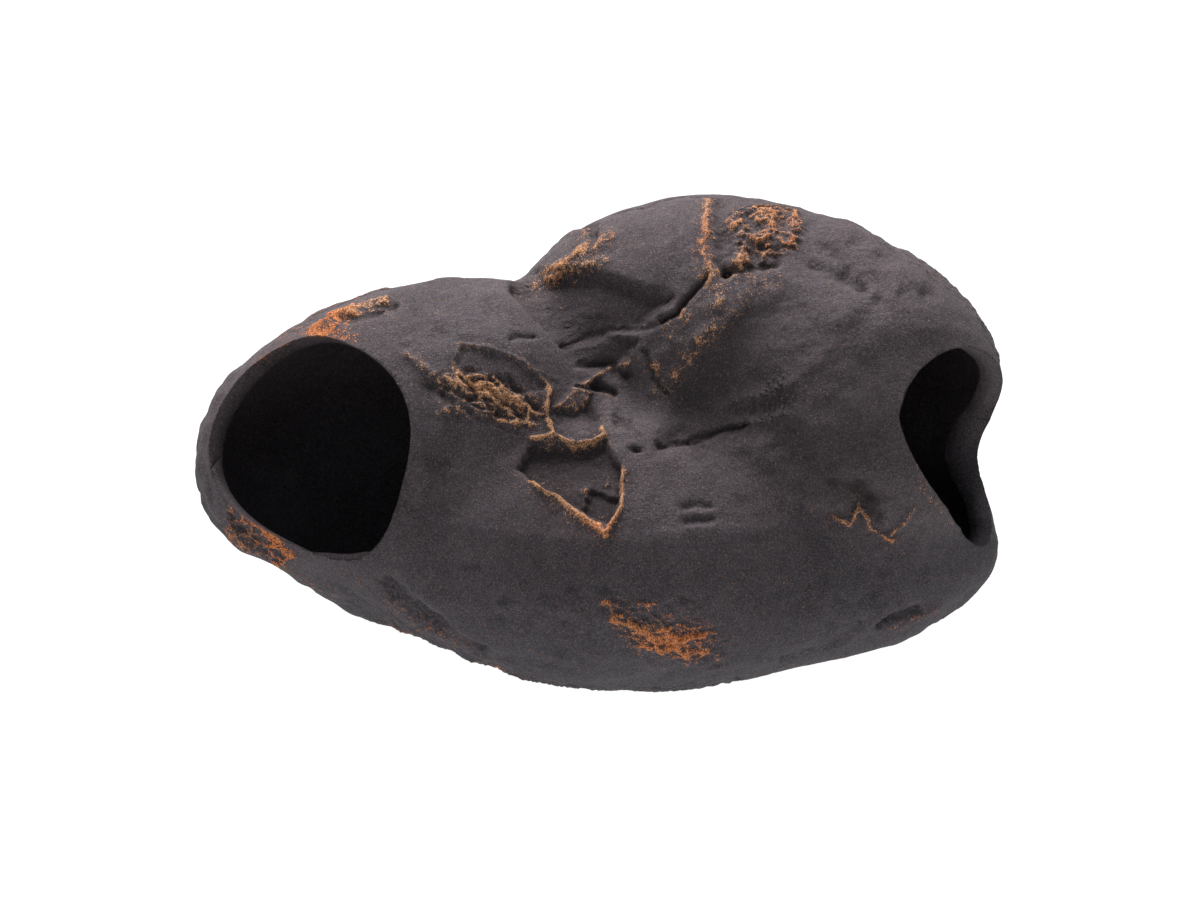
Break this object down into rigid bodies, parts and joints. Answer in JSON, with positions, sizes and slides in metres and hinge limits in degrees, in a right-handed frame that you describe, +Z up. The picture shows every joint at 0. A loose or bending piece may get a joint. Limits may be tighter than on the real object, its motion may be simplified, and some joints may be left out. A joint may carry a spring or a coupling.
{
  "type": "cave ornament",
  "caption": "Hollow rock-shaped aquarium cave with an angled mouth at each end, joined by one swim-through chamber, on a flat base.",
  "frame": {"origin": "on the floor, under the middle of the rock's box", "axes": "+X along the rock from the large left mouth to the smaller right mouth, -Y out of its front, +Z up"},
  "size_m": [0.2224, 0.1279, 0.115],
  "materials": {
    "resin": "sandy unglazed cast resin, dark brown-grey, with rust-orange dry-brushing on its ridges and cracks",
    "adhesive": "dull dark adhesive"
  },
  "bodies": {
    "root": {"upper_shell": "resin", "lower_shell": "resin", "front_seam_bead": "adhesive", "rear_seam_bead": "adhesive"}
  },
  "joints": []
}
